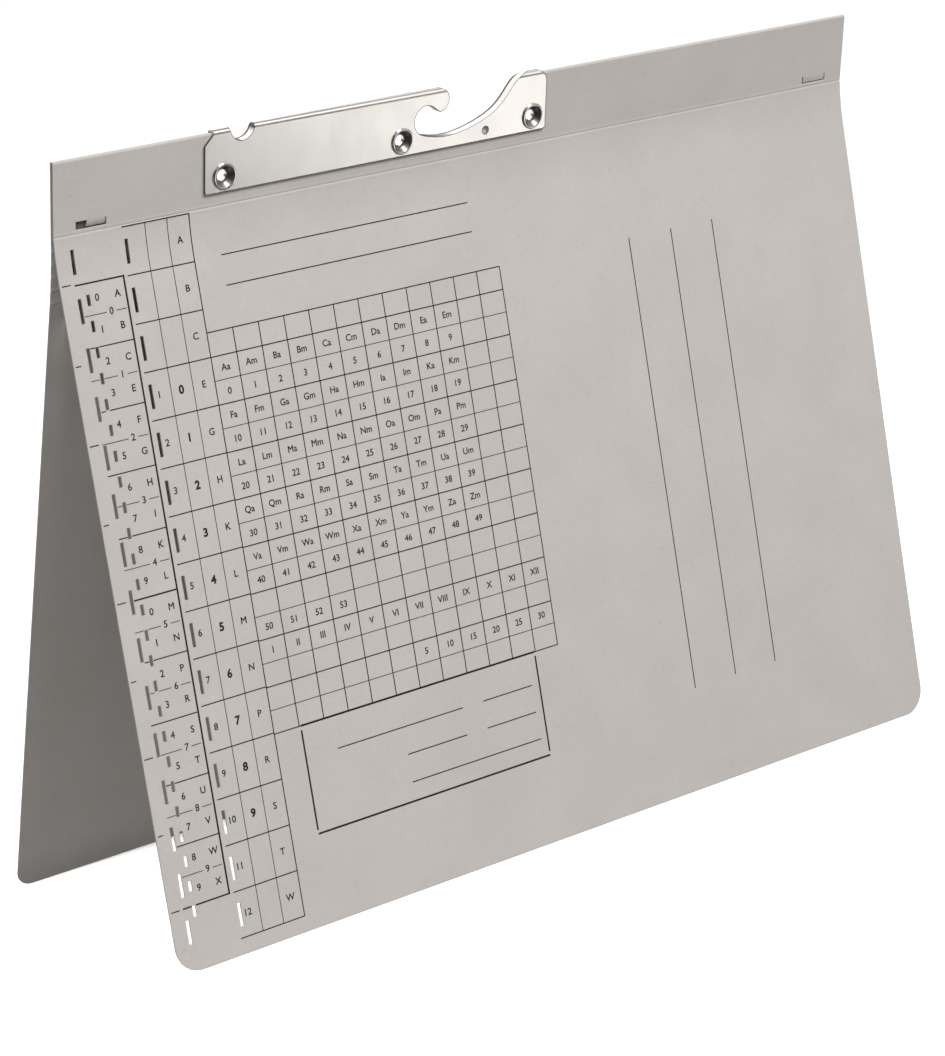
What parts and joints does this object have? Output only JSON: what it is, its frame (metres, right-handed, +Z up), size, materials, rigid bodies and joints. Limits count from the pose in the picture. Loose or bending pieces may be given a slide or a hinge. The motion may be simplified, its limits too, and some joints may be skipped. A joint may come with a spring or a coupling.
{
  "type": "hanging file folder",
  "caption": "Card hanging file folder: a tent of front and scored back covers under a folded spine, with a riveted steel hook plate on top and a prong paper fastener inside.",
  "frame": {"origin": "centre of the footprint of the standing tent, on the surface it stands on", "axes": "+X along the spine to the right as seen from the printed front, +Y to the back, +Z up"},
  "size_m": [0.318, 0.089, 0.24],
  "materials": {
    "card": "uncoated matt board",
    "hanger_steel": "bright plated",
    "rivet_steel": "bright plated",
    "fastener_steel": "tinned"
  },
  "bodies": {
    "spine": {"spine_strip": "card", "hanger": "hanger_steel", "rivet_left": "rivet_steel", "rivet_middle": "rivet_steel", "rivet_right": "rivet_steel"},
    "front_cover": {"front_cover": "card", "fastener_base": "fastener_steel", "compressor_bar": "fastener_steel"},
    "lock_left": {"slide_lock_left": "fastener_steel"},
    "lock_right": {"slide_lock_right": "fastener_steel"},
    "back_slat_1": {"back_slat_1": "card"},
    "back_slat_2": {"back_slat_2": "card"},
    "back_slat_3": {"back_slat_3": "card"},
    "back_slat_4": {"back_slat_4": "card"},
    "back_cover": {"back_cover": "card"}
  },
  "joints": [
    {"name": "front_crease", "type": "hinge", "parent": "spine", "child": "front_cover", "pos_m": [0, -0.00127, 0.21675], "axis": [-1, 0, 0], "range_deg": [-7, 150]},
    {"name": "back_score_1", "type": "hinge", "parent": "spine", "child": "back_slat_1", "pos_m": [0, 0.0006, 0.21291], "axis": [1, 0, 0], "range_deg": [-1, 30]},
    {"name": "back_score_2", "type": "hinge", "parent": "back_slat_1", "child": "back_slat_2", "pos_m": [0, 0.00106, 0.20894], "axis": [1, 0, 0], "range_deg": [-1, 30]},
    {"name": "back_score_3", "type": "hinge", "parent": "back_slat_2", "child": "back_slat_3", "pos_m": [0, 0.00161, 0.20497], "axis": [1, 0, 0], "range_deg": [-1, 30]},
    {"name": "back_score_4", "type": "hinge", "parent": "back_slat_3", "child": "back_slat_4", "pos_m": [0, 0.00225, 0.20103], "axis": [1, 0, 0], "range_deg": [-1, 30]},
    {"name": "back_score_5", "type": "hinge", "parent": "back_slat_4", "child": "back_cover", "pos_m": [0, 0.00299, 0.19709], "axis": [1, 0, 0], "range_deg": [-1, 30]},
    {"name": "lock_left_slide", "type": "slide", "parent": "front_cover", "child": "lock_left", "axis": [1, 0, 0], "range_m": [0, 0.011]},
    {"name": "lock_right_slide", "type": "slide", "parent": "front_cover", "child": "lock_right", "axis": [-1, 0, 0], "range_m": [0, 0.011]}
  ]
}
